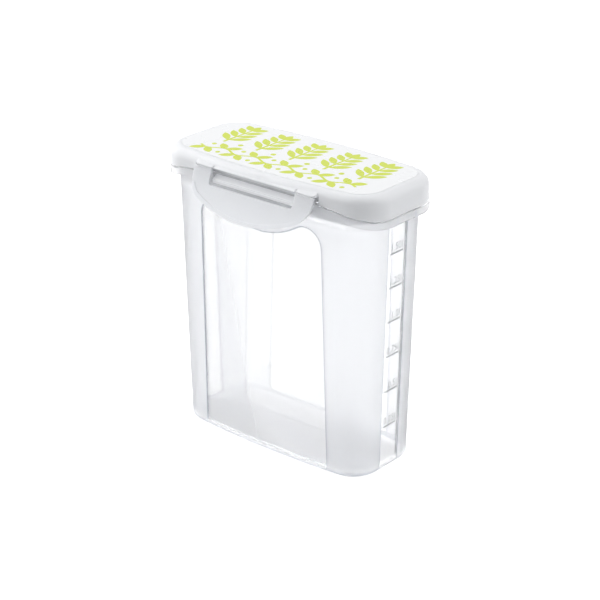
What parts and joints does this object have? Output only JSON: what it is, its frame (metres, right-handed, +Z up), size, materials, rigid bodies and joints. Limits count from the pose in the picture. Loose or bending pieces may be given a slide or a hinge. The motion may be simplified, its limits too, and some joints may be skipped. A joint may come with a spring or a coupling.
{
  "type": "shaker container",
  "caption": "Tall oval food storage container with clear grip panels, arched white lid and clip closures.",
  "frame": {"origin": "centre of the container's footprint, on the surface it stands on", "axes": "+X along the long side towards the short end with the volume scale, -Y towards the front clip, +Z up"},
  "size_m": [0.1762, 0.1142, 0.1961],
  "materials": {
    "container": "frosted translucent polypropylene with polished panels",
    "lid": "satin white polypropylene",
    "label": "gloss printed film",
    "seal": "matt translucent silicone",
    "clip": "satin white polypropylene"
  },
  "bodies": {
    "container": {"container": "container"},
    "lid": {"lid": "lid", "lid_label": "label", "seal_ring": "seal"},
    "front_clip": {"front_clip": "clip"},
    "rear_clip": {"rear_clip": "clip"}
  },
  "joints": [
    {"name": "lid_lift", "type": "slide", "parent": "container", "child": "lid", "axis": [0, 0, 1], "range_m": [0, 0.08]},
    {"name": "front_clip_hinge", "type": "hinge", "parent": "lid", "child": "front_clip", "pos_m": [0, -0.04267, 0.191], "axis": [-1, 0, 0], "range_deg": [0, 135]},
    {"name": "rear_clip_hinge", "type": "hinge", "parent": "lid", "child": "rear_clip", "pos_m": [0, 0.04267, 0.191], "axis": [1, 0, 0], "range_deg": [0, 135]}
  ]
}
